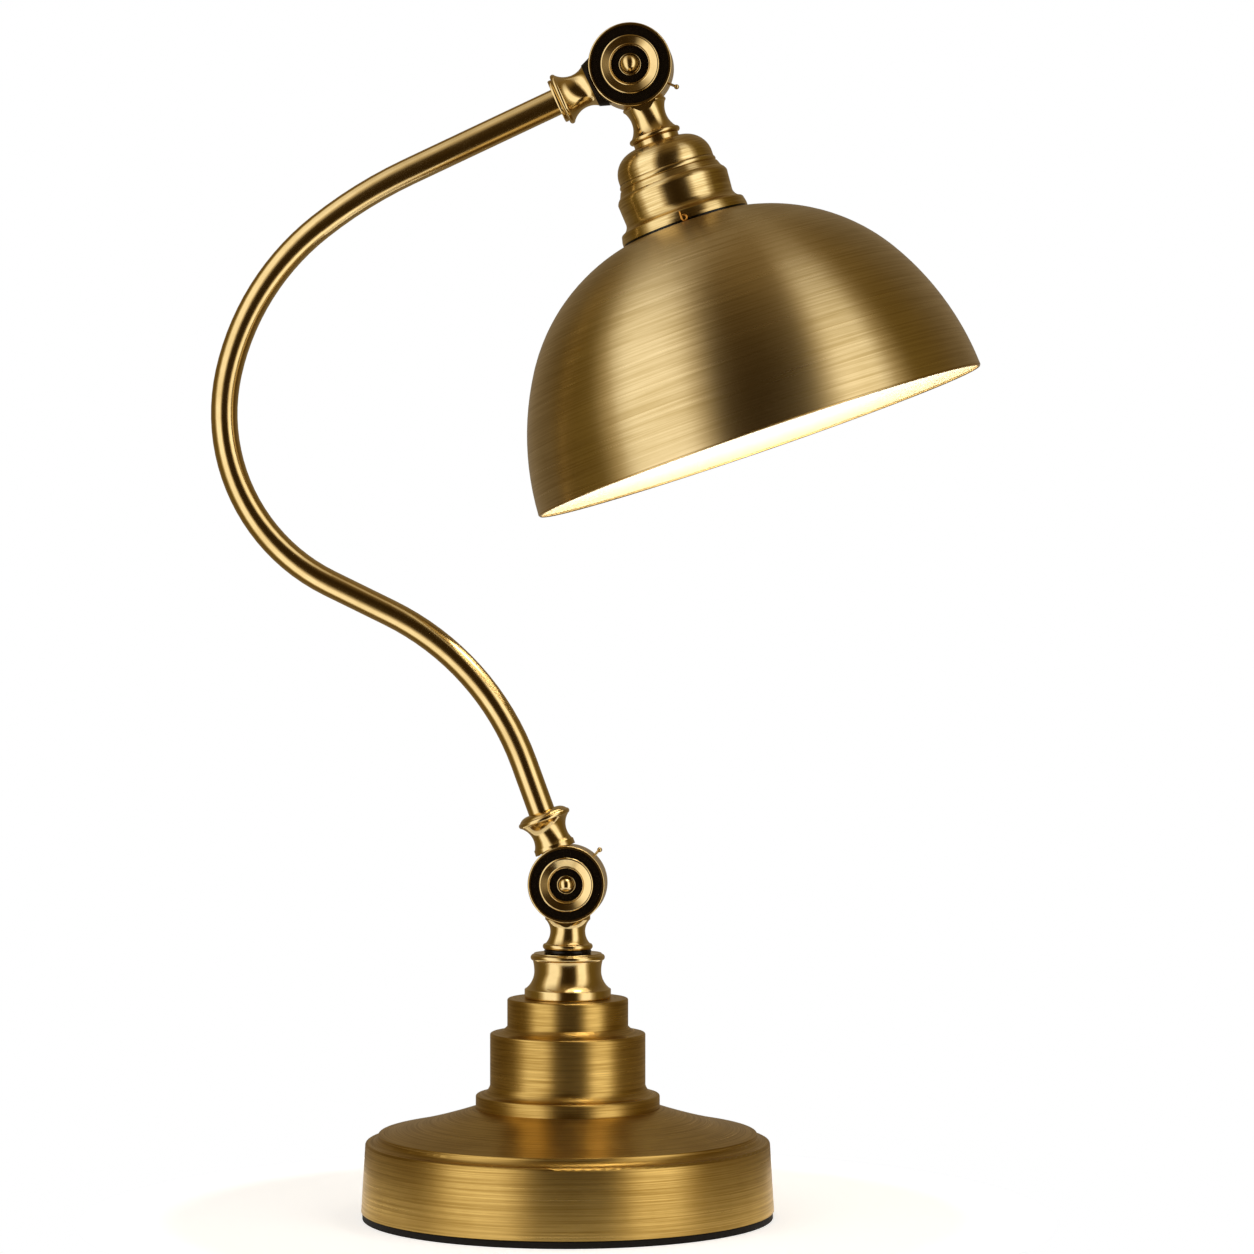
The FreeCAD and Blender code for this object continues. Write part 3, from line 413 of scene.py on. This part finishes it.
# dim room round the table, with a tall soft light wall on the left and another on the right
roomLight = {
    "radius": 4.0,
    "segments": 64,
    "rings": 32,
    "level": 1.8,
    # what stands round the lamp, by degrees from the camera's side: left below zero, right above it
    "walls": ((-180, "#6E6659"), (-150, "#685F52"), (-130, "#5D5241"), (-110, "#574827"), (-84, "#5B4B21"),
              (-72, "#A39577"), (-62, "#F1EFEC"), (-32, "#F1EEEA"), (-26, "#B9AD99"), (-17, "#33260F"),
              (0, "#241908"), (25, "#2E220D"), (33, "#A89A80"), (40, "#FBF7F0"), (62, "#FBF8F2"),
              (71, "#A39577"), (83, "#5B4B21"), (110, "#574827"), (130, "#5D5241"), (150, "#685F52"),
              (180, "#6E6659")),
    "leftLean": 0.5,        # the left wall's edges lean away from the camera with height, the right one's less
    "rightLean": 0.1,
    "dimFrom": 35.0,        # height in degrees where the walls begin to dim towards the ceiling
    "dimTo": 88.0,
    "ceiling": "#6B5938",
}


def makeRoomPaint(settings):
    # the room's walls glow by themselves, light or dim by where they stand round the lamp
    material, tree = emptyMaterial("roomPaint")
    turned = addNode(tree, "Mapping", {}, {"Vector": objectPlace(tree), "Rotation": (0, 0, -yaw)})
    way = addNode(tree, "VectorMath", {"operation": "NORMALIZE"}, {0: turned})
    sideways, depth, height = addNode(tree, "SeparateXYZ", {}, {0: way}).outputs
    aside = addNode(tree, "Math", {"operation": "ABSOLUTE"}, {0: sideways})
    near = addNode(tree, "Math", {"operation": "MULTIPLY"}, {0: depth, 1: -1.0})
    above = addNode(tree, "Math", {"operation": "MAXIMUM"}, {0: height, 1: 0.0})
    isRight = addNode(tree, "Math", {"operation": "GREATER_THAN"}, {0: sideways, 1: 0.0})
    lean = ramp(tree, isRight.outputs[0], (0.0, 1.0), (settings["leftLean"], settings["rightLean"]))
    near = addNode(tree, "Math", {"operation": "MULTIPLY_ADD"}, {0: above, 1: lean, 2: near})
    angle = addNode(tree, "Math", {"operation": "ARCTAN2"}, {0: aside, 1: near})
    side = addNode(tree, "Math", {"operation": "SIGN"}, {0: sideways})
    angle = addNode(tree, "Math", {"operation": "MULTIPLY"}, {0: angle, 1: side})
    # the whole turn laid on the ramp's 0 to 1, with the camera's side in the middle
    share = addNode(tree, "Math", {"operation": "MULTIPLY_ADD"}, {0: angle, 1: 0.5 / math.pi, 2: 0.5})
    walls = addNode(tree, "ValToRGB", {}, {0: share})
    stops = walls.color_ramp.elements
    while len(stops) < len(settings["walls"]):
        stops.new(0.5)
    for stop, (degrees, colour) in zip(stops, settings["walls"]):
        stop.position = degrees / 360 + 0.5
        stop.color = hexColour(colour)
    rise = addNode(tree, "Math", {"operation": "ARCSINE"}, {0: height})
    high = addNode(tree, "MapRange", {"interpolation_type": "SMOOTHSTEP"},
                   {"Value": rise, "From Min": math.radians(settings["dimFrom"]),
                    "From Max": math.radians(settings["dimTo"])})
    colour = blendColours(tree, high.outputs[0], walls.outputs[0], hexColour(settings["ceiling"]))
    light = addNode(tree, "Emission", {}, {"Color": colour, "Strength": settings["level"]})
    addNode(tree, "OutputMaterial", {}, {"Surface": light})
    return material


bpy.ops.mesh.primitive_uv_sphere_add(segments=roomLight["segments"], ring_count=roomLight["rings"],
                                     radius=roomLight["radius"])
room = bpy.context.object
room.name = "studioRoom"
room.data.materials.append(makeRoomPaint(roomLight))
room.visible_camera = False     # the camera sees the white beyond it, from every side

world = bpy.data.worlds.new("studioWhite")
bpy.context.scene.world = world
world.use_nodes = True
backdrop = next(node for node in world.node_tree.nodes if node.type == "BACKGROUND")
backdrop.inputs["Color"].default_value = (1, 1, 1, 1)
backdrop.inputs["Strength"].default_value = 1.0
print("studio set")
